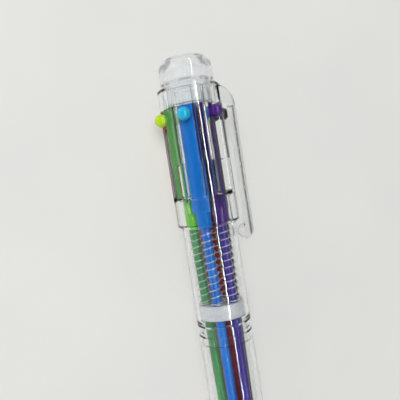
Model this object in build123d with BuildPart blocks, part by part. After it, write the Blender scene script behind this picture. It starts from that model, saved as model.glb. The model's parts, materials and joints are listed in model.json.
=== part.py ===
from build123d import *
import os
from math import atan2, cos, hypot, radians, sin, tan

os.makedirs("parts", exist_ok=True)

# A clear six-colour click pen, in millimetres. It lies on its side on two neighbouring slider beads, with
# its cap towards +Y, its nose towards -Y and its clip up and to the right, and the origin is under its middle.
# A depth is measured along the pen from the top of the cap towards the nose, a radius from the pen's axis,
# and an azimuth about that axis from +Z towards +X.

# Driving dimensions
LENGTH = 144.0
BARREL_R = 7.05  # slotted barrel and clip collar
GRIP_R = 6.125  # plain barrel below the shoulder
BORE_R = 5.25  # bore of the upper barrel
GAP = 0.05  # between moulded parts pushed together
TRAVEL = 13.0  # of a slider, half a millimetre past its latch

SLIDER_AZIMUTHS = {"orange": -150, "green": -90, "blue": -30, "purple": 30, "black": 90, "red": 150}
SLIDER_PITCH = 60
CLIP_AZIMUTH = 60

# Cap, collar and clip
CAP_R, CAP_NUB_R, CAP_NUB_HEIGHT, CAP_HEAD_END = 6.0, 1.1, 0.3, 6.0
CAP_SHOULDER_R, CAP_SHOULDER, CAP_DOME = 3.6, 0.6, 2.9  # the rounded shoulder, from its top rim to its end
CAP_ROOF, CAP_WALL, CAP_INNER_CORNER = 1.2, 1.0, 1.4
CAP_BOSS_R, CAP_BOSS_END, CAP_PLUG_END = 2.5, 10.5, 11.1
COLLAR_TOP, COLLAR_PLATE, COLLAR_END, COLLAR_WALL, COLLAR_CHAMFER = 7.0, 0.85, 11.9, 0.85, 0.5
CLIP_WIDTH, CLIP_INNER_R, CLIP_OUTER_R, CLIP_EDGE = 3.8, 8.3, 9.75, 0.4
CLIP_START_R, CLIP_START = 6.8, 7.9  # where the outer face of the clip leaves the collar
CLIP_BEND_R, CLIP_BEND = 9.05, 9.7
CLIP_KNEE = 12.0  # depth where the outer face of the clip straightens
CLIP_WEB_TOP, CLIP_WEB_END = 10.7, 12.5  # the slanted underside between collar and clip
CLIP_ROOT_END, CLIP_KERF = 13.1, 0.2  # the clip bends here, opened by a narrow kerf
CLIP_BALL_R, CLIP_BALL_DEPTH = 1.7, 40.6
CLIP_NECK = 6.0  # the arm thickens over this length above its ball

# Upper barrel
SLOT_WIDTH, SLOT_END, SLOT_CORNER, SLOT_EDGE = 3.6, 32.1, 1.3, 0.15
LATCH_TOP, LATCH_END, LATCH_WIDTH, LATCH_R, LATCH_CORNER = 24.0, 31.9, 1.44, 5.8, 0.4  # pocket in a column
SHOULDER_START, SHOULDER_END = 37.8, 38.5
PARTING, PARTING_CHAMFER = 60.3, 0.25  # where the lower barrel meets the upper
SPIGOT_R, SPIGOT_BORE_R, SPIGOT_END = 5.6, 4.95, 64.8
SNAP_DEPTH, SNAP_HALF, SNAP_HEIGHT = 62.6, 0.5, 0.12

# Guide core: a hub with a rib behind each column of the barrel
HUB_R, HUB_TOP, RIB_TOP, RIB_THICKNESS, RIB_R, CORE_END = 1.5, 8.1, 11.5, 0.5, 5.2, 32.6

# Spring seat
SEAT_TOP, SEAT_END, SEAT_EYE_R, SEAT_CHAMFER = 55.9, 59.2, 1.3, 0.2
SEAT_PLAY = 0.1  # round a tube

# Lower barrel
NOSE_START, NOSE_MOUTH_R, NOSE_END_R, NOSE_LAND, NOSE_CHAMFER = 122.0, 1.7, 2.55, 0.5, 0.4
NOSE_MIDDLE_R, NOSE_MIDDLE = 4.975, 133.6  # a point on the bulge of the nose
GRIP_BORE_R, NOSE_BORE_R, NOSE_BORE_SLOPE = 5.0, 4.2, 0.25
GROOVES, GROOVE_FIRST, GROOVE_PITCH = 9, 97.0, 2.6
GROOVE_DEPTH, GROOVE_HALF, GROOVE_FLOOR_HALF = 0.22, 0.42, 0.25

# Sliders
SLIDER_TOP, SLIDER_SOCKET, SLIDER_END = 11.5, 35.1, 37.9
SLIDER_R, SLIDER_FOOT_R, SLIDER_HALF, SLIDER_SOCKET_R = 5.05, 2.35, 1.85, 1.55
SLIDER_PLAY = 0.15  # between a slider's side and a rib
SLIDER_CORNER, SLIDER_CHAMFER = 0.2, 0.15
BEAD_R, BEAD_AT_R, BEAD_DEPTH, STALK_R = 1.45, 7.25, 13.8, 1.1
NIPPLE_R, NIPPLE_LENGTH, NIPPLE_CHAMFER = 0.78, 4.0, 0.3
SUNK = 0.6  # how far a stalk or socket starts inside its slider

# Refills: each axis leans inwards from its slider to its tip
REFILL_TOP_R, REFILL_TIP_R, REFILL_TIP_DEPTH = 3.7, 2.3, 134.0
TUBE_R, TUBE_BORE_R = 1.05, 0.8
POINT_LENGTH, POINT_TAIL, POINT_R, NEEDLE_R, NEEDLE_LENGTH = 15.0, 4.0, 0.97, 0.36, 3.8
POINT_RIM, POINT_BORE_R, NECK_R, NECK_LENGTH = 1.0, 0.25, 0.46, 0.2
BALL_R, BALL_PROUD, BALL_PLAY, CRIMP_LENGTH = 0.3, 0.15, 0.01, 0.45
INK_START, INK_END_GAP, INK_PLAY = 9.0, 0.3, 0.02

# Springs
SPRING_R, WIRE_R, SPRING_END_GAP, SPRING_TURNS = 1.3, 0.125, 0.08, 11.25


def turned(azimuth):
    """The outward direction at an azimuth."""
    return Vector(sin(radians(azimuth)), 0, cos(radians(azimuth)))


# The box of the whole pen, which places its axis over the origin. The beads at 150 and -150 degrees touch the
# ground, the green bead is the furthest left, and the clip's rounded outer corner is the furthest right.
bead_low = BEAD_AT_R * cos(radians(SLIDER_PITCH / 2)) + BEAD_R
bead_left = BEAD_AT_R + BEAD_R
clip_corner = (CLIP_OUTER_R - CLIP_EDGE) * sin(radians(CLIP_AZIMUTH))
clip_right = clip_corner + (CLIP_WIDTH / 2 - CLIP_EDGE) * cos(radians(CLIP_AZIMUTH)) + CLIP_EDGE
AXIS_X, AXIS_Z = (bead_left - clip_right) / 2, bead_low

NOSEWARD = Vector(0, -1, 0)
CAP_POINT = Vector(AXIS_X, LENGTH / 2, AXIS_Z)
PEN_AXIS = Axis(CAP_POINT, NOSEWARD)


def lengthwise(azimuth):
    """The plane through the axis at an azimuth. A point in it is (radius, depth)."""
    out = turned(azimuth)
    return Plane(CAP_POINT, x_dir=out, z_dir=out.cross(NOSEWARD))


def across(azimuth, depth):
    """The plane across the pen at a depth, facing the nose, with its x axis out at an azimuth."""
    return Plane(CAP_POINT + NOSEWARD * depth, x_dir=turned(azimuth), z_dir=NOSEWARD)


def facing(azimuth, radius=0.0):
    """The plane that faces outwards at an azimuth. A point in it is (distance around, depth)."""
    out = turned(azimuth)
    return Plane(CAP_POINT + out * radius, x_dir=NOSEWARD.cross(out), z_dir=out)


# The line of a refill, in (radius, depth)
refill_run = REFILL_TIP_DEPTH - SLIDER_END
refill_lean = atan2(REFILL_TOP_R - REFILL_TIP_R, refill_run)
REFILL_LENGTH = hypot(REFILL_TOP_R - REFILL_TIP_R, refill_run)
TUBE_LENGTH = REFILL_LENGTH - POINT_LENGTH


def refill_radius(depth):
    """How far a refill's line is from the pen's axis at a depth, at rest."""
    return REFILL_TOP_R - (depth - SLIDER_END) * tan(refill_lean)


# A sliding refill drifts outwards where it passes the seat. A spring leans less than its refill and shares the drift
# out, so that the tube is as far off the middle of the spring's foot at one end of its travel as at the other.
spring_run = SEAT_TOP - SLIDER_END
spring_lean = atan2((spring_run - TRAVEL / 2) * tan(refill_lean), spring_run)


def refill_plane(azimuth, lean=refill_lean):
    """The lengthwise plane on a refill's own line, or on its spring's. A point in it is (radius, distance from the
    slider's end)."""
    base = lengthwise(azimuth)
    outwards = base.x_dir * cos(lean) + base.y_dir * sin(lean)
    seat = base.from_local_coords((REFILL_TOP_R, SLIDER_END, 0))
    return Plane(seat, x_dir=outwards, z_dir=base.z_dir)


def refill_axis(azimuth):
    plane = refill_plane(azimuth)
    return Axis(plane.origin, plane.y_dir)


def refill_section(azimuth, distance):
    """The plane across a refill's line, facing the nose, at a distance from the slider's end."""
    plane = refill_plane(azimuth)
    return Plane(plane.origin + plane.y_dir * distance, x_dir=plane.x_dir, z_dir=plane.y_dir)


def save(part, name):
    part.label = name
    export_step(part, f"parts/{name}.step")


# Upper barrel: one clear moulding, slotted above its shoulder, with a spigot for the lower barrel
finger_r = BARREL_R - COLLAR_WALL - GAP
finger_top = COLLAR_TOP + COLLAR_PLATE + GAP
RIB_AZIMUTHS = [slot_azimuth + SLIDER_PITCH / 2 for slot_azimuth in SLIDER_AZIMUTHS.values()]


def on_slot_rim(edge):
    """Is this an edge of a slot, on the barrel's outside below the collar?"""
    place = across(0, 0).to_local_coords(edge @ 0.5)
    on_outside = abs(hypot(place.X, place.Y) - BARREL_R) < GAP
    return on_outside and COLLAR_END + GAP < place.Z < SHOULDER_START - GAP


with BuildPart() as upper_barrel:
    with BuildSketch(lengthwise(0)):
        with BuildLine():
            Polyline(
                (BORE_R, finger_top),
                (finger_r, finger_top),
                (finger_r, COLLAR_END),
                (BARREL_R, COLLAR_END),
                (BARREL_R, SHOULDER_START),
                (GRIP_R, SHOULDER_END),
                (GRIP_R, PARTING - PARTING_CHAMFER),
                (GRIP_R - PARTING_CHAMFER, PARTING),
                (SPIGOT_R, PARTING),
                (SPIGOT_R, SNAP_DEPTH - SNAP_HALF),
                (SPIGOT_R + SNAP_HEIGHT, SNAP_DEPTH),
                (SPIGOT_R, SNAP_DEPTH + SNAP_HALF),
                (SPIGOT_R, SPIGOT_END),
                (SPIGOT_BORE_R, SPIGOT_END),
                (SPIGOT_BORE_R, SEAT_END),
                (BORE_R, SEAT_END),
                close=True,
            )
        make_face()
    revolve(axis=PEN_AXIS)
    for slot_azimuth in SLIDER_AZIMUTHS.values():
        with BuildSketch(facing(slot_azimuth)):
            with Locations((0, SLOT_END / 2)):
                RectangleRounded(SLOT_WIDTH, SLOT_END, SLOT_CORNER)
        extrude(amount=2 * BARREL_R, mode=Mode.SUBTRACT)
    chamfer(upper_barrel.edges().filter_by(on_slot_rim), SLOT_EDGE)
    for rib_azimuth in RIB_AZIMUTHS:
        with BuildSketch(facing(rib_azimuth)):
            with Locations((0, (LATCH_TOP + LATCH_END) / 2)):
                RectangleRounded(LATCH_WIDTH, LATCH_END - LATCH_TOP, LATCH_CORNER)
        extrude(amount=LATCH_R, mode=Mode.SUBTRACT)
save(upper_barrel.part, "upper_barrel")

# Clip collar: the ring that closes the slots, with the root of the clip
clip_half = CLIP_WIDTH / 2
clip_plane = lengthwise(CLIP_AZIMUTH)
collar_bore_r = BARREL_R - COLLAR_WALL


def on_clip_back(edge):
    """Is this an edge of a side of the clip, away from its inner face and from the cut at its root?"""
    place = clip_plane.to_local_coords(edge @ 0.5)
    on_side = abs(abs(place.Z) - clip_half) < GAP
    off_cut = abs(place.Y - CLIP_ROOT_END) > GAP
    return on_side and off_cut and place.X > CLIP_INNER_R + GAP and edge.length > CLIP_EDGE


with BuildPart() as clip_collar:
    with BuildSketch(clip_plane):
        with BuildLine():
            Polyline(
                (CLIP_INNER_R, CLIP_WEB_END),
                (collar_bore_r, CLIP_WEB_TOP),
                (collar_bore_r, CLIP_START),
                (CLIP_START_R, CLIP_START),
            )
            ThreePointArc((CLIP_START_R, CLIP_START), (CLIP_BEND_R, CLIP_BEND), (CLIP_OUTER_R, CLIP_KNEE))
            Polyline(
                (CLIP_OUTER_R, CLIP_KNEE),
                (CLIP_OUTER_R, CLIP_ROOT_END),
                (CLIP_INNER_R, CLIP_ROOT_END),
                (CLIP_INNER_R, CLIP_WEB_END),
            )
        make_face()
    extrude(amount=clip_half, both=True)
    fillet(clip_collar.edges().filter_by(on_clip_back), radius=CLIP_EDGE)
    with BuildSketch(lengthwise(0)):
        with BuildLine():
            Polyline(
                (BORE_R + GAP, COLLAR_TOP),
                (BARREL_R - COLLAR_CHAMFER, COLLAR_TOP),
                (BARREL_R, COLLAR_TOP + COLLAR_CHAMFER),
                (BARREL_R, COLLAR_END),
                (collar_bore_r, COLLAR_END),
                (collar_bore_r, COLLAR_TOP + COLLAR_PLATE),
                (BORE_R + GAP, COLLAR_TOP + COLLAR_PLATE),
                close=True,
            )
        make_face()
    revolve(axis=PEN_AXIS)
save(clip_collar.part, "clip_collar")

# Pocket clip: the arm, with a ball that rests just off the lower part of the barrel
arm_top = CLIP_ROOT_END + CLIP_KERF
ball_r = CLIP_OUTER_R - CLIP_BALL_R
arm_end = CLIP_BALL_DEPTH + clip_half
arm_end_r, arm_end_bulge = ball_r + CLIP_BALL_R * sin(radians(45)), CLIP_BALL_DEPTH + clip_half * cos(radians(45))
with BuildPart() as pocket_clip:
    with BuildSketch(across(CLIP_AZIMUTH, arm_top)) as arm_section:
        with Locations((CLIP_OUTER_R, 0)):
            Rectangle(2 * CLIP_BALL_R, CLIP_WIDTH, align=(Align.MAX, Align.CENTER))
        fillet(arm_section.vertices().group_by(lambda v: clip_plane.to_local_coords(v.center()).X)[-1], CLIP_EDGE)
    extrude(amount=arm_end - arm_top)
    with BuildSketch(clip_plane):
        with BuildLine():
            Polyline(
                (ball_r, arm_end),
                (ball_r, CLIP_BALL_DEPTH),
                (CLIP_INNER_R, CLIP_BALL_DEPTH - CLIP_NECK),
                (CLIP_INNER_R, arm_top),
                (CLIP_OUTER_R, arm_top),
                (CLIP_OUTER_R, CLIP_BALL_DEPTH),
            )
            ThreePointArc((CLIP_OUTER_R, CLIP_BALL_DEPTH), (arm_end_r, arm_end_bulge), (ball_r, arm_end))
        make_face()
    extrude(amount=clip_half, both=True, mode=Mode.INTERSECT)
    with BuildSketch(facing(CLIP_AZIMUTH)):
        with Locations((0, arm_top)):
            Rectangle(CLIP_WIDTH, CLIP_BALL_DEPTH - arm_top, align=(Align.CENTER, Align.MIN))
        with Locations((0, CLIP_BALL_DEPTH)):
            Circle(clip_half)
    extrude(amount=2 * CLIP_OUTER_R, mode=Mode.INTERSECT)
    with Locations(clip_plane.from_local_coords((ball_r, CLIP_BALL_DEPTH, 0))):
        Sphere(CLIP_BALL_R)
save(pocket_clip.part, "pocket_clip")

# End cap: a clear thimble with a central boss that holds the guide core, plugged into the barrel
plug_r = BORE_R - GAP
plug_bore_r = plug_r - CAP_WALL
shoulder_mid_r = CAP_SHOULDER_R + (CAP_R - CAP_SHOULDER_R) * sin(radians(45))
shoulder_mid = CAP_DOME - (CAP_DOME - CAP_SHOULDER) * sin(radians(45))
roof_end = CAP_ROOF + CAP_SHOULDER
with BuildPart() as end_cap:
    with BuildSketch(lengthwise(0)):
        with BuildLine():
            Polyline((0, 0), (CAP_NUB_R, 0), (CAP_NUB_R, CAP_NUB_HEIGHT), (CAP_SHOULDER_R, CAP_SHOULDER))
            ThreePointArc((CAP_SHOULDER_R, CAP_SHOULDER), (shoulder_mid_r, shoulder_mid), (CAP_R, CAP_DOME))
            Polyline(
                (CAP_R, CAP_DOME),
                (CAP_R, CAP_HEAD_END),
                (plug_r, CAP_HEAD_END + COLLAR_CHAMFER),
                (plug_r, CAP_PLUG_END),
                (plug_bore_r, CAP_PLUG_END),
                (plug_bore_r, roof_end + CAP_INNER_CORNER),
                (plug_bore_r - CAP_INNER_CORNER, roof_end),
                (CAP_BOSS_R, roof_end),
                (CAP_BOSS_R, CAP_BOSS_END),
                (HUB_R + GAP, CAP_BOSS_END),
                (HUB_R + GAP, HUB_TOP - GAP),
                (0, HUB_TOP - GAP),
                (0, 0),
            )
        make_face()
    revolve(axis=PEN_AXIS)
save(end_cap.part, "end_cap")

# Guide core: hub and ribs, which keep the sliders apart
with BuildPart() as guide_core:
    with BuildSketch(across(0, HUB_TOP)):
        Circle(HUB_R)
    extrude(amount=CORE_END - HUB_TOP)
    for rib_azimuth in RIB_AZIMUTHS:
        with BuildSketch(lengthwise(rib_azimuth)):
            with Locations((0, RIB_TOP)):
                Rectangle(RIB_R, CORE_END - RIB_TOP, align=(Align.MIN, Align.MIN))
        extrude(amount=RIB_THICKNESS / 2, both=True)
save(guide_core.part, "guide_core")

# Spring seat: a milky ring on the ledge of the bore, with a hole for each refill
seat_middle = (SEAT_TOP + SEAT_END) / 2
seat_hole_at_r = refill_radius(seat_middle - TRAVEL / 2)
seat_hole_r = TUBE_R + (refill_radius(seat_middle - TRAVEL) - refill_radius(seat_middle)) / 2 + SEAT_PLAY
with BuildPart() as spring_seat:
    with BuildSketch(across(0, SEAT_TOP)):
        Circle(BORE_R - GAP / 2)
        Circle(SEAT_EYE_R, mode=Mode.SUBTRACT)
        with PolarLocations(seat_hole_at_r, len(SLIDER_AZIMUTHS), start_angle=SLIDER_PITCH / 2):
            Circle(seat_hole_r, mode=Mode.SUBTRACT)
    extrude(amount=SEAT_END - SEAT_TOP)
    chamfer(spring_seat.edges().filter_by(GeomType.CIRCLE).group_by(SortBy.RADIUS)[-1], SEAT_CHAMFER)
save(spring_seat.part, "spring_seat")

# Lower barrel: socket, plain bore, finger grooves and a tapered nose with the mouth the points come out of
socket_r = SPIGOT_R + GAP
bore_taper_end = LENGTH - NOSE_LAND
bore_taper_start = bore_taper_end - (NOSE_BORE_R - NOSE_MOUTH_R) / NOSE_BORE_SLOPE
lip_start = PARTING + GAP
with BuildPart() as lower_barrel:
    with BuildSketch(lengthwise(0)):
        with BuildLine():
            Polyline(
                (GRIP_R, NOSE_START),
                (GRIP_R, lip_start + PARTING_CHAMFER),
                (GRIP_R - PARTING_CHAMFER, lip_start),
                (socket_r, lip_start),
                (socket_r, SNAP_DEPTH - SNAP_HALF),
                (socket_r + SNAP_HEIGHT, SNAP_DEPTH),
                (socket_r, SNAP_DEPTH + SNAP_HALF),
                (socket_r, SPIGOT_END + GAP),
                (GRIP_BORE_R, SPIGOT_END + GAP),
                (GRIP_BORE_R, NOSE_START),
                (NOSE_BORE_R, bore_taper_start),
                (NOSE_MOUTH_R, bore_taper_end),
                (NOSE_MOUTH_R, LENGTH),
                (NOSE_END_R - NOSE_CHAMFER, LENGTH),
                (NOSE_END_R, LENGTH - NOSE_CHAMFER),
            )
            ThreePointArc((NOSE_END_R, LENGTH - NOSE_CHAMFER), (NOSE_MIDDLE_R, NOSE_MIDDLE), (GRIP_R, NOSE_START))
        make_face()
    revolve(axis=PEN_AXIS)
    for groove in range(GROOVES):
        groove_at = GROOVE_FIRST + groove * GROOVE_PITCH
        with BuildSketch(lengthwise(0)):
            Polygon(
                (GRIP_R, groove_at - GROOVE_HALF),
                (GRIP_R, groove_at + GROOVE_HALF),
                (GRIP_R - GROOVE_DEPTH, groove_at + GROOVE_FLOOR_HALF),
                (GRIP_R - GROOVE_DEPTH, groove_at - GROOVE_FLOOR_HALF),
                align=None,
            )
        revolve(axis=PEN_AXIS, mode=Mode.SUBTRACT)
save(lower_barrel.part, "lower_barrel")


# Sliders: a wedge-shaped body that runs between two ribs, with a bead outside the slot
rib_slope = radians(SLIDER_PITCH / 2)
flank_offset = RIB_THICKNESS / 2 + SLIDER_PLAY  # of a slider's flank from the middle of the rib beside it
foot_half = (SLIDER_FOOT_R * sin(rib_slope) - flank_offset) / cos(rib_slope)
cheek_r = (SLIDER_HALF * cos(rib_slope) + flank_offset) / sin(rib_slope)  # where the flank is at its widest


def make_slider(azimuth):
    with BuildPart() as slider:
        with BuildSketch(across(azimuth, SLIDER_TOP)) as wedge:
            Polygon(
                (SLIDER_FOOT_R, -foot_half),
                (cheek_r, -SLIDER_HALF),
                (SLIDER_R, -SLIDER_HALF),
                (SLIDER_R, SLIDER_HALF),
                (cheek_r, SLIDER_HALF),
                (SLIDER_FOOT_R, foot_half),
                align=None,
            )
            Circle(SLIDER_R, mode=Mode.INTERSECT)
            fillet(wedge.vertices(), SLIDER_CORNER)
        extrude(amount=SLIDER_SOCKET - SLIDER_TOP)
        chamfer(slider.edges().group_by(Axis.Y)[-1], SLIDER_CHAMFER)
        with BuildSketch(facing(azimuth, SLIDER_R - SUNK)):
            with Locations((0, BEAD_DEPTH)):
                Circle(STALK_R)
        extrude(amount=BEAD_AT_R - SLIDER_R + SUNK)
        bead_centre = lengthwise(azimuth).from_local_coords((BEAD_AT_R, BEAD_DEPTH, 0))
        with Locations(Plane(bead_centre, z_dir=turned(azimuth))):
            Sphere(BEAD_R)
        with BuildSketch(refill_section(azimuth, SLIDER_SOCKET - SLIDER_END - SUNK)):
            Circle(SLIDER_SOCKET_R)
            with Locations((-REFILL_TOP_R, 0)):
                Circle(SLIDER_R, mode=Mode.INTERSECT)
        extrude(amount=SLIDER_END - SLIDER_SOCKET + SUNK)
        with BuildSketch(refill_section(azimuth, 0)):
            Circle(NIPPLE_R)
        extrude(amount=NIPPLE_LENGTH)
        chamfer(slider.edges().filter_by(GeomType.CIRCLE).sort_by(Axis.Y)[0], NIPPLE_CHAMFER)
    return slider.part


# Ink tubes: plain plastic tubes pushed onto the sliders' nipples
def make_tube(azimuth):
    with BuildPart() as tube:
        with BuildSketch(refill_plane(azimuth)):
            Polygon(
                (TUBE_BORE_R, 0),
                (TUBE_R, 0),
                (TUBE_R, TUBE_LENGTH),
                (TUBE_BORE_R, TUBE_LENGTH),
                align=None,
            )
        revolve(axis=refill_axis(azimuth))
    return tube.part


def make_ink(azimuth):
    ink_r = TUBE_BORE_R - INK_PLAY
    ink_end = TUBE_LENGTH - POINT_TAIL - INK_END_GAP
    with BuildPart() as ink:
        with BuildSketch(refill_plane(azimuth)):
            Polygon((0, INK_START), (ink_r, INK_START), (ink_r, ink_end), (0, ink_end), align=None)
        revolve(axis=refill_axis(azimuth))
    return ink.part


# Points: a turned brass cone with a tail pressed into the tube and a needle that seats the ball
def make_point(azimuth):
    end = REFILL_LENGTH
    tail = end - POINT_LENGTH - POINT_TAIL
    with BuildPart() as point:
        with BuildSketch(refill_plane(azimuth)):
            Polygon(
                (POINT_BORE_R, tail),
                (NIPPLE_R, tail),
                (NIPPLE_R, end - POINT_LENGTH),
                (POINT_R, end - POINT_LENGTH),
                (POINT_R, end - POINT_LENGTH + POINT_RIM),
                (NECK_R, end - NEEDLE_LENGTH - NECK_LENGTH),
                (NEEDLE_R, end - NEEDLE_LENGTH),
                (NEEDLE_R, end - BALL_PROUD - CRIMP_LENGTH),
                (BALL_R + 2 * BALL_PLAY, end - BALL_PROUD),
                (POINT_BORE_R, end - BALL_PROUD),
                align=None,
            )
        revolve(axis=refill_axis(azimuth))
        with Locations(refill_plane(azimuth).from_local_coords((0, end - BALL_R, 0))):
            Sphere(BALL_R + BALL_PLAY, mode=Mode.SUBTRACT)
    return point.part


def make_ball(azimuth):
    with BuildPart() as ball:
        with Locations(refill_plane(azimuth).from_local_coords((0, REFILL_LENGTH - BALL_R, 0))):
            Sphere(BALL_R)
    return ball.part


# Springs: steel wire coils around the tubes, between the sliders and the spring seat
def make_spring(azimuth):
    first = SPRING_END_GAP + WIRE_R
    last = spring_run / cos(spring_lean) - first
    pitch = (last - first) / SPRING_TURNS
    plane = refill_plane(azimuth, spring_lean)
    with BuildPart() as spring:
        with BuildLine() as coil:
            Helix(pitch, last - first, SPRING_R, plane.origin + plane.y_dir * first, plane.y_dir)
        with BuildSketch(Plane(coil.line @ 0, z_dir=coil.line % 0)):
            Circle(WIRE_R)
        sweep(path=coil.line, is_frenet=True)
    return spring.part


for colour, slider_azimuth in SLIDER_AZIMUTHS.items():
    save(make_slider(slider_azimuth), f"{colour}_slider")
    save(make_spring(slider_azimuth), f"{colour}_spring")
    save(make_tube(slider_azimuth), f"{colour}_tube")
    save(make_ink(slider_azimuth), f"{colour}_ink")
    save(make_point(slider_azimuth), f"{colour}_point")
    save(make_ball(slider_azimuth), f"{colour}_ball")
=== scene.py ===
import json
from math import atan2, cos, hypot, pi, radians, sin

import bmesh
import bpy
from mathutils import Matrix, Vector


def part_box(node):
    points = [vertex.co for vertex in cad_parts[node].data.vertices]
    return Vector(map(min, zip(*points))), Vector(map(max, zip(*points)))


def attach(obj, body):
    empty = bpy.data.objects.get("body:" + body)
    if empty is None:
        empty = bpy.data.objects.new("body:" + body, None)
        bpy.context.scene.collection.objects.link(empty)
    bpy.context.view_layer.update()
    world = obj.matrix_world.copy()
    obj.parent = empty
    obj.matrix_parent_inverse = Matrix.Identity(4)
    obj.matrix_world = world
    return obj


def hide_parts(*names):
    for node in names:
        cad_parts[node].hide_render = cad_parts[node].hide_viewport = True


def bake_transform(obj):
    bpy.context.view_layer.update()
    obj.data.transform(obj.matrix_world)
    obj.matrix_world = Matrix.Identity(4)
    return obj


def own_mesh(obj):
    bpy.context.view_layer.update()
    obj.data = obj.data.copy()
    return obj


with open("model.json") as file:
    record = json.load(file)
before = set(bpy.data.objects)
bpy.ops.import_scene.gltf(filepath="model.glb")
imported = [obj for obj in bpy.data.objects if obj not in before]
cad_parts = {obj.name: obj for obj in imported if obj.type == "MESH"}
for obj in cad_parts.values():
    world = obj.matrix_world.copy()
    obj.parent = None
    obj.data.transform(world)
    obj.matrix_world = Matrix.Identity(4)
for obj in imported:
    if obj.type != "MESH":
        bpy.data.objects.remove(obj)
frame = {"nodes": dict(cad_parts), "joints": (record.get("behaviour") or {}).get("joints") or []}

bpy.context.view_layer.update()

# A clear six-colour click pen that lies on its side, cap towards +Y and clip up and to the right. Lengths are
# in metres. An azimuth is about the pen's axis, from +Z towards +X, and a depth is from the cap's top to the
# nose.
MM = 0.001
CLIP_AZIMUTH = 60
COLOURS = ("orange", "green", "blue", "purple", "black", "red")
NODES = frame["nodes"]
JOINTS = {joint["name"]: joint for joint in frame["joints"]}


def middle(node):
    """The middle of a CAD node's box."""
    low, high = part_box(node)
    return (low + high) / 2


AXIS = middle("lower_barrel")
TOP_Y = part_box("end_cap")[1].y


def turned(azimuth):
    """The outward direction at an azimuth in degrees."""
    return Vector((sin(radians(azimuth)), 0, cos(radians(azimuth))))


def azimuth_of(point):
    """A point's azimuth in degrees."""
    return atan2(point.x - AXIS.x, point.z - AXIS.z) * 180 / pi


# -------------------------------------------------------------------------------------------------------
# Materials


class Tree:
    """A material's nodes, made one call at a time. Inputs are given by name, with _ for a space."""

    def __init__(self, name):
        self.material = bpy.data.materials.new(name)
        self.material.use_nodes = True
        self.tree = self.material.node_tree
        self.tree.nodes.clear()
        self.place = self.node("ShaderNodeTexCoord").outputs["Object"]

    def node(self, kind, settings=(), **inputs):
        made = self.tree.nodes.new("ShaderNode" + kind.removeprefix("ShaderNode"))
        for name, value in dict(settings).items():
            setattr(made, name, value)
        for name, value in inputs.items():
            self.put(made.inputs[name.replace("_", " ")], value)
        return made

    def put(self, socket, value):
        if isinstance(value, bpy.types.NodeSocket):
            self.tree.links.new(value, socket)
        elif hasattr(socket.default_value, "__len__") and not hasattr(value, "__len__"):
            socket.default_value = [value] * len(socket.default_value)
        else:
            socket.default_value = value

    def maths(self, operation, first, second=0.0):
        made = self.node("Math", {"operation": operation})
        self.put(made.inputs[0], first)
        self.put(made.inputs[1], second)
        return made.outputs[0]

    def noise(self, scale, detail=2.0, stretch=(1, 1, 1)):
        """Noise with features about 1/scale metres across, longer along an axis where stretch is below 1."""
        place = self.node("Mapping", Vector=self.place, Scale=stretch).outputs[0]
        return self.node("TexNoise", Vector=place, Scale=scale, Detail=detail).outputs[0]

    def spread(self, value, low, high, out_low, out_high):
        """value from low..high to out_low..out_high, held at the ends."""
        names = {"From_Min": low, "From_Max": high, "To_Min": out_low, "To_Max": out_high}
        return self.node("MapRange", Value=value, **names).outputs[0]

    def mixed(self, share, first, second):
        """Colour first where share is 0 and second where it's 1."""
        made = self.node("Mix", {"data_type": "RGBA"})
        self.put(made.inputs[0], share)
        self.put(made.inputs[6], first)
        self.put(made.inputs[7], second)
        return made.outputs[2]

    def bump(self, height, distance, strength=1.0):
        return self.node("Bump", Height=height, Distance=distance, Strength=strength).outputs[0]

    def off_axis(self):
        """How far a point is from the pen's axis."""
        split = self.node("SeparateXYZ", Vector=self.place)
        across = self.maths("SUBTRACT", split.outputs["X"], AXIS.x)
        up = self.maths("SUBTRACT", split.outputs["Z"], AXIS.z)
        squares = self.maths("ADD", self.maths("POWER", across, 2.0), self.maths("POWER", up, 2.0))
        return self.maths("SQRT", squares)

    def surface(self, shader, tint=None, density=0.0):
        """Ends the material. tint and density are what a clear solid takes out of the light that goes a long way
        in it."""
        out = self.node("OutputMaterial")
        self.tree.links.new(shader, out.inputs["Surface"])
        if tint:
            inside = self.node("VolumeAbsorption", Color=tint, Density=density)
            self.tree.links.new(inside.outputs[0], out.inputs["Volume"])
        return self.material

    def lets_light_in(self, shader, colour):
        """The same shader, but plain clear for the light that falls on what is inside it."""
        path = self.node("LightPath")
        for ray in ("Is Shadow Ray", "Is Diffuse Ray"):
            clear = self.node("BsdfTransparent", Color=colour)
            mix = self.node("MixShader", Fac=path.outputs[ray])
            self.tree.links.new(shader, mix.inputs[1])
            self.tree.links.new(clear.outputs[0], mix.inputs[2])
            shader = mix.outputs[0]
        return shader


def colour(red, green, blue):
    """A colour given as the 0 to 255 values of a screen, as the linear light that shaders work in."""
    steps = [value / 255 for value in (red, green, blue)]
    linear = [step / 12.92 if step <= 0.04045 else ((step + 0.055) / 1.055) ** 2.4 for step in steps]
    return (*linear, 1.0)


# Where the painted dark shade along the clip's two rounded outer corners fades in
CLIP_RIM_START, CLIP_RIM_END = 9.25 * MM, 9.45 * MM  # from the pen's axis
CLIP_SIDE_START, CLIP_SIDE_END = 1.45 * MM, 1.65 * MM  # from the clip's middle plane


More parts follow.
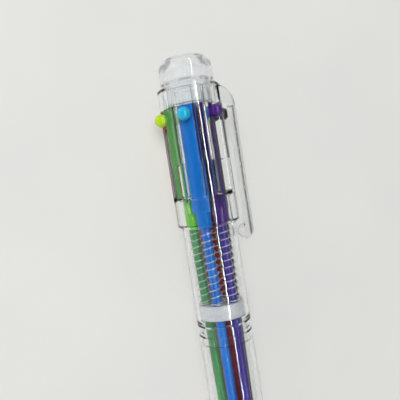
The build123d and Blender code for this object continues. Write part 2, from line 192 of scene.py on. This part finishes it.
def clip_edge_shade(tree):
    """How far a point is into the two rounded outer corners that run along the clip, where a painted dark shade
    stands in for the dark lines that refraction draws at the edges of clear plastic.
    """
    split = tree.node("SeparateXYZ", Vector=tree.place)
    right = tree.maths("SUBTRACT", split.outputs["X"], AXIS.x)
    up = tree.maths("SUBTRACT", split.outputs["Z"], AXIS.z)
    out = turned(CLIP_AZIMUTH)
    radius = tree.maths("ADD", tree.maths("MULTIPLY", right, out.x), tree.maths("MULTIPLY", up, out.z))
    aside = tree.maths("SUBTRACT", tree.maths("MULTIPLY", right, out.z), tree.maths("MULTIPLY", up, out.x))
    high = tree.spread(radius, CLIP_RIM_START, CLIP_RIM_END, 0, 1)
    wide = tree.spread(tree.maths("ABSOLUTE", aside), CLIP_SIDE_START, CLIP_SIDE_END, 0, 1)
    return tree.maths("MULTIPLY", high, wide)


def clear_plastic(name, haze, bend, density, painted_edge_shade=None):
    """Polished moulded plastic: clear, with faint flow waves and fine handling scratches. haze is how milky it
    is, bend its refractive index, density how much light it takes on a long way through it, and the last
    argument says where a painted dark shade goes, standing in for the dark lines refraction draws at clear
    edges."""
    tree = Tree(name)
    flow = tree.noise(260, 2, (1, 0.35, 1))
    scratches = tree.noise(5200, 3, (1, 0.06, 1))
    rough = tree.spread(scratches, 0.56, 0.72, 0.012 + haze * 0.3, 0.075 + haze * 0.3)
    height = tree.maths("ADD", flow, tree.maths("MULTIPLY", scratches, 0.06))
    tint = (0.985, 0.993, 0.995, 1)
    # painted shade: the clear tint turns dark grey at the given edges, standing in for the dark lines that
    # refraction draws along the edges of clear plastic
    if painted_edge_shade:
        tint = tree.mixed(painted_edge_shade(tree), tint, (0.16, 0.16, 0.165, 1))
    glass = tree.node(
        "BsdfPrincipled",
        Base_Color=tint,
        Roughness=rough,
        IOR=bend,
        Transmission_Weight=1.0 - haze,
        Normal=tree.bump(height, 0.00003, 0.12),
    )
    shader = tree.lets_light_in(glass.outputs[0], (0.965, 0.975, 0.98, 1))
    return tree.surface(shader, (0.3, 0.36, 0.36, 1), density)


def milky_plastic():
    """Natural polypropylene: a translucent white that shows what is behind it as a blur."""
    tree = Tree("milky_plastic")
    cloud = tree.noise(900, 3)
    base = tree.mixed(tree.spread(cloud, 0.35, 0.65, 0, 1), colour(238, 241, 248), colour(252, 253, 255))
    fine = tree.noise(9000, 2)
    milky = tree.node(
        "BsdfPrincipled",
        Base_Color=base,
        Roughness=tree.spread(fine, 0.3, 0.7, 0.24, 0.36),
        IOR=1.49,
        Transmission_Weight=0.3,
        Subsurface_Weight=0.6,
        Subsurface_Radius=(1.0, 1.0, 1.05),
        Subsurface_Scale=0.0012,
        Normal=tree.bump(fine, 0.00002, 0.4),
    )
    return tree.surface(milky.outputs[0])


BEAD_LIGHT_FADE = (0.0050, 0.0064)  # the distances from the axis where a slider's body colour turns into the lighter colour of its bead, painted light for the light that shines through the thin bead
SOCKET_LIGHT_FADE = (0.0325, 0.0338)  # the depths where a slider's body colour turns into the lighter colour of its socket, painted light for the light that shines through its thin walls


def slider_plastic(name, bead, body, socket):
    """Tinted moulded plastic, one colour throughout, with painted light: its bead and its thin-walled socket get
    lighter colours than the body, for the light that shines through them.
    """
    tree = Tree(name)
    # painted light: lighter colours towards the bead and the socket, for the light that shines through the thin
    # plastic there
    reach = tree.spread(tree.off_axis(), *BEAD_LIGHT_FADE, 0, 1)
    depth = tree.maths("SUBTRACT", TOP_Y, tree.node("SeparateXYZ", Vector=tree.place).outputs["Y"])
    cloud = tree.spread(tree.noise(420, 3, (1, 0.25, 1)), 0.3, 0.7, 0.82, 1.0)
    lengthwise = tree.mixed(tree.spread(depth, *SOCKET_LIGHT_FADE, 0, 1), body, socket)
    shade = tree.mixed(reach, lengthwise, bead)
    tinted = tree.node("Mix", {"data_type": "RGBA", "blend_type": "MULTIPLY"})
    tree.put(tinted.inputs[0], 1.0)
    tree.put(tinted.inputs[6], shade)
    tree.put(tinted.inputs[7], tree.node("CombineColor", Red=cloud, Green=cloud, Blue=cloud).outputs[0])
    grain = tree.noise(14000, 2)
    plastic = tree.node(
        "BsdfPrincipled",
        Base_Color=tinted.outputs[2],
        Roughness=tree.spread(grain, 0.3, 0.7, 0.22, 0.34),
        IOR=1.53,
        Subsurface_Weight=0.55,
        Subsurface_Radius=(1.0, 1.0, 1.0),
        Subsurface_Scale=0.0009,
        Coat_Weight=0.25,
        Coat_Roughness=0.12,
        Normal=tree.bump(grain, 0.000012, 0.5),
    )
    return tree.surface(plastic.outputs[0])


def tube_plastic(name, tint):
    """A thin extruded tube: nearly clear, with fine draw lines along it."""
    tree = Tree(name)
    lines = tree.noise(7000, 2, (1, 0.01, 1))
    tube = tree.node(
        "BsdfPrincipled",
        Base_Color=tint,
        Roughness=tree.spread(lines, 0.35, 0.65, 0.06, 0.14),
        IOR=1.45,
        Transmission_Weight=0.92,
        Normal=tree.bump(lines, 0.000012, 0.5),
    )
    return tree.surface(tree.lets_light_in(tube.outputs[0], (0.93, 0.93, 0.94, 1)))


def ink_paste(name, thick, thin):
    """Ink in its tube: a deep colour, with lighter streaks where it wets the wall thinly."""
    tree = Tree(name)
    streak = tree.noise(1500, 3, (1, 0.05, 1))
    base = tree.mixed(tree.spread(streak, 0.35, 0.68, 0, 1), thick, thin)
    ink = tree.node(
        "BsdfPrincipled",
        Base_Color=base,
        Roughness=tree.spread(streak, 0.3, 0.7, 0.2, 0.35),
        IOR=1.45,
        Subsurface_Weight=0.35,
        Subsurface_Radius=(1.0, 1.0, 1.0),
        Subsurface_Scale=0.0006,
    )
    return tree.surface(ink.outputs[0])


def spring_steel():
    """Nickel-plated drawn wire, with die lines round each turn."""
    tree = Tree("spring_steel")
    lines = tree.noise(16000, 2)
    tone = tree.mixed(tree.spread(lines, 0.3, 0.7, 0, 1), colour(222, 224, 228), colour(246, 247, 250))
    steel = tree.node(
        "BsdfPrincipled",
        Base_Color=tone,
        Metallic=0.7,
        Roughness=tree.spread(lines, 0.3, 0.7, 0.12, 0.24),
        Normal=tree.bump(lines, 0.000006, 0.2),
    )
    return tree.surface(steel.outputs[0])


def point_brass():
    """Turned brass, with tool rings across its length."""
    tree = Tree("point_brass")
    rings = tree.node("TexWave", {"bands_direction": "Y"}, Vector=tree.place, Scale=1800.0, Distortion=1.5)
    tarnish = tree.noise(2200, 4)
    tone = tree.mixed(tree.spread(tarnish, 0.35, 0.7, 0, 1), colour(226, 190, 112), colour(190, 146, 78))
    brass = tree.node(
        "BsdfPrincipled",
        Base_Color=tone,
        Metallic=1.0,
        Roughness=tree.spread(tarnish, 0.3, 0.7, 0.2, 0.36),
        Normal=tree.bump(rings.outputs["Fac"], 0.000006, 0.5),
    )
    return tree.surface(brass.outputs[0])


def ball_carbide():
    """Ground tungsten carbide: dark grey metal, wet with a little ink."""
    tree = Tree("ball_carbide")
    grain = tree.noise(26000, 2)
    carbide = tree.node(
        "BsdfPrincipled",
        Base_Color=tree.mixed(grain, colour(120, 122, 128), colour(165, 167, 172)),
        Metallic=1.0,
        Roughness=tree.spread(grain, 0.3, 0.7, 0.18, 0.3),
    )
    return tree.surface(carbide.outputs[0])


SLIDER_COLOURS = {  # of the bead, the body and the socket; the bead and socket colours are painted lighter than the body's, for the light that shines through them
    "orange": (colour(240, 130, 24), colour(190, 84, 14), colour(206, 104, 24)),
    "green": (colour(200, 236, 10), colour(28, 150, 20), colour(104, 200, 20)),
    "blue": (colour(0, 190, 236), colour(0, 112, 204), colour(0, 118, 210)),
    "purple": (colour(70, 8, 130), colour(40, 8, 92), colour(66, 20, 122)),
    "black": (colour(16, 16, 18), colour(12, 12, 14), colour(14, 14, 16)),
    "red": (colour(168, 16, 40), colour(120, 12, 34), colour(132, 18, 40)),
}
INKS = {  # where the ink is thick and where it's thin
    "orange": (colour(176, 74, 24), colour(214, 112, 52)),
    "green": (colour(0, 104, 44), colour(46, 172, 88)),
    "blue": (colour(0, 104, 206), colour(30, 148, 232)),
    "purple": (colour(54, 32, 130), colour(84, 62, 170)),
    "black": (colour(20, 20, 22), colour(38, 38, 42)),
    "red": (colour(110, 18, 34), colour(150, 42, 56)),
}
TUBE_TINTS = {
    "orange": colour(236, 176, 140),
    "green": colour(140, 226, 160),
    "blue": colour(120, 196, 246),
    "purple": colour(150, 136, 216),
    "black": colour(96, 96, 100),
    "red": colour(206, 120, 130),
}

CLEAR = clear_plastic("clear_plastic", 0.0, 1.42, 16.0)
CLIP = clear_plastic("clip_plastic", 0.0, 1.55, 24.0, clip_edge_shade)
CAP = clear_plastic("cap_plastic", 0.16, 1.4, 8.0)
MILKY = milky_plastic()
STEEL = spring_steel()
BRASS = point_brass()
CARBIDE = ball_carbide()
SLIDERS = {name: slider_plastic(f"{name}_slider_plastic", *SLIDER_COLOURS[name]) for name in COLOURS}
TUBES = {name: tube_plastic(f"{name}_tube_plastic", TUBE_TINTS[name]) for name in COLOURS}
INK = {name: ink_paste(f"{name}_ink_paste", *INKS[name]) for name in COLOURS}


def finish_with(thing, material):
    """Gives a CAD node or a new piece one material all over."""
    thing.data.materials.clear()
    thing.data.materials.append(material)


for node_name, material in {
    "upper_barrel": CLEAR,
    "clip_collar": CLEAR,
    "pocket_clip": CLIP,
    "guide_core": CLEAR,
    "end_cap": CAP,
    "lower_barrel": CLEAR,
    "spring_seat": MILKY,
    **{f"{name}_slider": SLIDERS[name] for name in COLOURS},
    **{f"{name}_tube": TUBES[name] for name in COLOURS},
    **{f"{name}_ink": INK[name] for name in COLOURS},
    **{f"{name}_spring": STEEL for name in COLOURS},
    **{f"{name}_point": BRASS for name in COLOURS},
    **{f"{name}_ball": CARBIDE for name in COLOURS},
}.items():
    finish_with(NODES[node_name], material)

# -------------------------------------------------------------------------------------------------------
# Springs and refills, each along the line that its refill leans in on


class Refill:
    """The line of a colour's refill. A distance is along it, from the top of its tube towards the nose."""

    def __init__(self, name):
        self.pivot = Vector(JOINTS[f"{name}_lean"]["pos_m"])
        ball = middle(f"{name}_ball")
        self.along = (ball - self.pivot).normalized()
        self.out = turned(round(azimuth_of(self.pivot) / 30) * 30)
        self.side = self.along.cross(self.out).normalized()
        self.out = self.side.cross(self.along)
        low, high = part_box(f"{name}_tube")
        slope = hypot(self.along.x, self.along.z)
        self.top = self.at_y(high.y - TUBE_R * slope)
        self.end = self.distance(self.at_y(low.y + TUBE_R * slope))

    def at_y(self, y):
        return self.pivot + self.along * ((y - self.pivot.y) / self.along.y)

    def distance(self, point):
        return (point - self.top).dot(self.along)

    def place(self, distance, radius, turn):
        """The point at a distance, a radius from the line, turned about it."""
        return self.top + self.along * distance + (self.out * cos(turn) + self.side * sin(turn)) * radius


TUBE_R, TUBE_BORE_R, INK_R = 1.05 * MM, 0.8 * MM, 0.83 * MM  # ink wets the bore, so it starts in the wall
TAIL_LENGTH = 4.0 * MM  # of the part of the brass point inside the tube
LIP = 0.06 * MM  # of the rounded ends of a tube
TUBE_STEP = 1.0 * MM  # between a tube's rings of points
TUBE_SIDES, INK_SIDES = 28, 24
CRIMPS = (2.2 * MM, 1.2 * MM)  # how far each crimped ring is from the end of its tube
CRIMP = ((-0.25, 0), (-0.12, 0.05), (0, 0.08), (0.12, 0.05), (0.25, 0))  # one crimped ring: offset and depth
CRIMPED_LENGTH = 3.2 * MM
INK_TOP, INK_END_GAP = 0.35 * MM, 0.3 * MM

COIL_R, WIRE_R = 1.3 * MM, 0.125 * MM
CLOSED_TURNS, OPEN_TURNS = 1.0, 11.0  # closed at each end, and open between them
CLOSED_RISE = 2.05 * WIRE_R  # of one closed turn
TURN_STEPS, WIRE_SIDES = 40, 10
CUT_END = 0.6  # the size of the wire at its two cut ends


def new_piece(name, points, faces, material):
    mesh = bpy.data.meshes.new(name)
    mesh.from_pydata(points, [], faces)
    mesh.shade_smooth()
    mesh.materials.append(material)
    made = bpy.data.objects.new(name, mesh)
    bpy.context.scene.collection.objects.link(made)
    return made


def rings_to_faces(rings, sides, closed_loop):
    """Quads between each ring of points and the next, and from the last to the first if closed_loop."""
    faces = []
    for ring in range(rings if closed_loop else rings - 1):
        here, there = ring * sides, (ring + 1) % rings * sides
        faces += [(here + k, here + (k + 1) % sides, there + (k + 1) % sides, there + k) for k in range(sides)]
    return faces


def lathed(name, refill, profile, sides, material):
    """A solid turned about a refill's line. The profile is (distance, radius) pairs; it ends at radius 0, or
    else it closes on itself."""
    solid = profile[0][1] == 0
    inner = profile[1:-1] if solid else profile
    turns = [2 * pi * k / sides for k in range(sides)]
    points = [refill.place(distance, radius, turn) for distance, radius in inner for turn in turns]
    faces = rings_to_faces(len(inner), sides, not solid)
    if solid:
        last = (len(inner) - 1) * sides
        points += [refill.place(profile[0][0], 0, 0), refill.place(profile[-1][0], 0, 0)]
        faces += [(len(points) - 2, (k + 1) % sides, k) for k in range(sides)]
        faces += [(len(points) - 1, last + k, last + (k + 1) % sides) for k in range(sides)]
    made = new_piece(name, points, faces, material)
    outwards(made)
    return made


def outwards(thing):
    """Turns every face of a closed mesh to face out."""
    mesh = bmesh.new()
    mesh.from_mesh(thing.data)
    bmesh.ops.recalc_face_normals(mesh, faces=mesh.faces)
    mesh.to_mesh(thing.data)
    mesh.free()


def evenly(start, end, step):
    """Numbers from start to end, about a step apart."""
    count = max(1, round(abs(end - start) / step))
    return [start + (end - start) * k / count for k in range(count + 1)]


def make_spring(name):
    """A compression spring with a closed turn at each end, on the spring seat. A sliding refill drifts outwards
    where it passes the seat, so the foot of the spring stands half of that drift out from the refill at
    rest."""
    refill = Refill(name)
    travel = JOINTS[f"{name}_slide"]["range_m"][1]
    foot_out = travel * hypot(refill.along.x, refill.along.z) / abs(refill.along.y) / 2
    low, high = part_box(f"{name}_spring")
    lean = hypot(refill.along.x, refill.along.z) * (COIL_R + WIRE_R)
    first = refill.distance(refill.at_y(high.y - lean)) + WIRE_R
    last = refill.distance(refill.at_y(low.y + lean)) - WIRE_R
    open_run = last - first - 2 * CLOSED_TURNS * CLOSED_RISE
    turns = OPEN_TURNS + 2 * CLOSED_TURNS
    steps = round(turns * TURN_STEPS)
    points = []
    for step in range(steps + 1):
        turn = turns * step / steps
        opened = min(max(turn - CLOSED_TURNS, 0), OPEN_TURNS)
        along = first + (turn - opened) * CLOSED_RISE + opened / OPEN_TURNS * open_run
        angle = 2 * pi * turn
        drift = refill.out * foot_out * (along - first) / (last - first)
        centre = refill.place(along, COIL_R, angle) + drift
        radial = (refill.out * cos(angle) + refill.side * sin(angle)).normalized()
        taper = WIRE_R * (CUT_END if step in (0, steps) else 1.0)
        for k in range(WIRE_SIDES):
            about = 2 * pi * k / WIRE_SIDES
            points.append(centre + (radial * cos(about) + refill.along * sin(about)) * taper)
    faces = rings_to_faces(steps + 1, WIRE_SIDES, False)
    faces += [tuple(range(WIRE_SIDES))[::-1], tuple(steps * WIRE_SIDES + k for k in range(WIRE_SIDES))]
    spring = new_piece(f"{name}_coil", points, faces, STEEL)
    outwards(spring)
    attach(spring, "barrel")
    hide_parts(f"{name}_spring")
    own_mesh(spring)


def make_refill(name):
    """A drawn ink tube, crimped on its brass point, and the ink in it."""
    refill = Refill(name)
    end, rim = refill.end, LIP * 0.3
    outer = [(rim, TUBE_R - LIP), (LIP, TUBE_R)]
    outer += [(d, TUBE_R) for d in evenly(TUBE_STEP, end - CRIMPED_LENGTH, TUBE_STEP)]
    for crimp in CRIMPS:
        outer += [(end - crimp + offset * MM, TUBE_R - depth * MM) for offset, depth in CRIMP]
    outer += [(end - LIP, TUBE_R), (end - rim, TUBE_R - LIP)]
    bore = [(d, TUBE_BORE_R) for d in evenly(end - rim, rim, TUBE_STEP)]
    tube = lathed(f"{name}_ink_tube", refill, outer + bore, TUBE_SIDES, TUBES[name])
    top, bottom = INK_TOP, end - TAIL_LENGTH - INK_END_GAP
    core = [(top + 0.25 * MM, 0), (top + 0.2 * MM, INK_R * 0.5), (top, INK_R)]
    core += [(d, INK_R) for d in evenly(top + TUBE_STEP, bottom, TUBE_STEP)] + [(bottom + 0.02 * MM, 0)]
    ink = lathed(f"{name}_ink_column", refill, core, INK_SIDES, INK[name])
    for piece, node, slot in ((tube, "tube", "tube"), (ink, "ink", "ink")):
        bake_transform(piece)
        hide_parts(f"{name}_{node}")


for name in COLOURS:
    make_spring(name)
    make_refill(name)

# -------------------------------------------------------------------------------------------------------
# Floor, light and camera


FLOOR_HALF = 1.6


def paper_floor():
    """A plain pale sheet under the pen, with a faint tooth."""
    tree = Tree("paper")
    tooth = tree.noise(2600, 4)
    cloud = tree.noise(26, 2)
    base = tree.mixed(tree.spread(cloud, 0.3, 0.7, 0, 1), colour(233, 234, 231), colour(238, 238, 235))
    paper = tree.node(
        "BsdfPrincipled", Base_Color=base, Roughness=0.75, IOR=1.4, Normal=tree.bump(tooth, 0.00004, 0.35)
    )
    mesh = bpy.data.meshes.new("floor")
    corners = [(x * FLOOR_HALF, y * FLOOR_HALF, 0) for x, y in ((-1, -1), (1, -1), (1, 1), (-1, 1))]
    mesh.from_pydata(corners, [], [(0, 1, 2, 3)])
    floor = bpy.data.objects.new("floor", mesh)
    bpy.context.scene.collection.objects.link(floor)
    mesh.materials.append(tree.surface(paper.outputs[0]))


# How bright the studio is along two axes, from -1 to 1
SKY_RAMPS = (
    ("Z", ((0.0, 1.0), (0.45, 0.8), (0.75, 0.22))),
    ("X", ((-0.6, 0.95), (0.1, 0.78), (0.7, 0.5))),
)
SKY_STRENGTH = 0.62


def sky():
    """A dim studio: a pale wall on the left, a half dark one on the right, and a dark ceiling, so that the clear
    plastic has a bright side and a dark side and shows what is inside it."""
    world = bpy.data.worlds.new("studio")
    world.use_nodes = True
    tree = world.node_tree
    tree.nodes.clear()
    place = tree.nodes.new("ShaderNodeTexCoord")
    split = tree.nodes.new("ShaderNodeSeparateXYZ")
    tree.links.new(place.outputs["Generated"], split.inputs[0])
    ramps = []
    for axis, stops in SKY_RAMPS:
        reach = tree.nodes.new("ShaderNodeMapRange")
        reach.inputs["From Min"].default_value = -1
        tree.links.new(split.outputs[axis], reach.inputs[0])
        ramp = tree.nodes.new("ShaderNodeValToRGB")
        tree.links.new(reach.outputs[0], ramp.inputs[0])
        points = ramp.color_ramp.elements
        points.new(0.5)
        for point, (position, light) in zip(points, stops):
            point.position = (position + 1) / 2
            point.color = (light, light, light * 1.02, 1)
        ramps.append(ramp.outputs[0])
    both = tree.nodes.new("ShaderNodeMix")
    both.data_type, both.blend_type = "RGBA", "MULTIPLY"
    both.inputs[0].default_value = 1.0
    tree.links.new(ramps[0], both.inputs[6])
    tree.links.new(ramps[1], both.inputs[7])
    light = tree.nodes.new("ShaderNodeBackground")
    light.inputs["Strength"].default_value = SKY_STRENGTH
    out = tree.nodes.new("ShaderNodeOutputWorld")
    tree.links.new(both.outputs[2], light.inputs[0])
    tree.links.new(light.outputs[0], out.inputs[0])
    bpy.context.scene.world = world


def soft_light(name, azimuth, along, distance, size, watts, tint, seen_by):
    """An area light that faces the pen from an azimuth, along metres up the pen from the aim. seen_by says what
    it shows in: "diffuse" light, "glossy" reflections or "transmission" through clear plastic."""
    data = bpy.data.lights.new(name, "AREA")
    data.shape = "RECTANGLE"
    data.size, data.size_y = size
    data.energy = watts
    data.color = tint
    light = bpy.data.objects.new(name, data)
    light.visible_diffuse = "diffuse" in seen_by
    light.visible_glossy = "glossy" in seen_by
    light.visible_transmission = "transmission" in seen_by
    bpy.context.scene.collection.objects.link(light)
    place = AIM + turned(azimuth) * distance + Vector((0, along, 0))
    back = (place - AIM).normalized()
    across = Vector((0, 1, 0)).cross(back).normalized()
    up = back.cross(across)
    light.matrix_world = Matrix.Translation(place) @ Matrix((across, up, back)).transposed().to_4x4()


# The view: over the slotted barrel, a little to the left of upright, with the cap away and to the left
VIEW_AZIMUTH, VIEW_DISTANCE, VIEW_ALONG = -16.6, 0.0978, 0.0036
VIEW_ROLL = radians(8.87)
AIM_AZIMUTH, AIM_OFFSET = 69.0, -0.0012
AIM_Y = 0.0395
LENS = 38.7

AIM = Vector((AXIS.x, AIM_Y, AXIS.z)) + turned(AIM_AZIMUTH) * AIM_OFFSET


def camera():
    """The camera, over the pen and turned a little about its line of sight."""
    place = Vector((AXIS.x, AIM_Y + VIEW_ALONG, AXIS.z)) + turned(VIEW_AZIMUTH) * VIEW_DISTANCE
    back = (place - AIM).normalized()
    upright = Vector((0, 1, 0)) * cos(VIEW_ROLL) + turned(AIM_AZIMUTH) * sin(VIEW_ROLL)
    right = upright.cross(back).normalized()
    up = back.cross(right)
    data = bpy.data.cameras.new("camera")
    data.lens, data.sensor_width = LENS, 36.0
    data.clip_start, data.clip_end = 0.005, 20.0
    made = bpy.data.objects.new("camera", data)
    bpy.context.scene.collection.objects.link(made)
    made.matrix_world = Matrix.Translation(place) @ Matrix((right, up, back)).transposed().to_4x4()
    bpy.context.scene.camera = made


paper_floor()
sky()
camera()
soft_light("window", -15, 0.16, 0.9, (0.5, 0.6), 6.9, (1.0, 0.995, 0.98), ("diffuse",))
soft_light("strip", 10.5, 0.0, 0.5, (0.011, 1.3), 2.6, (1, 1, 1), ("glossy", "transmission"))

BOUNCES = 32  # enough to go through all the clear walls

scene = bpy.context.scene
scene.view_settings.view_transform = "Standard"
scene.cycles.max_bounces = scene.cycles.transmission_bounces = scene.cycles.transparent_max_bounces = BOUNCES
scene.cycles.caustics_reflective = False

bpy.context.view_layer.update()
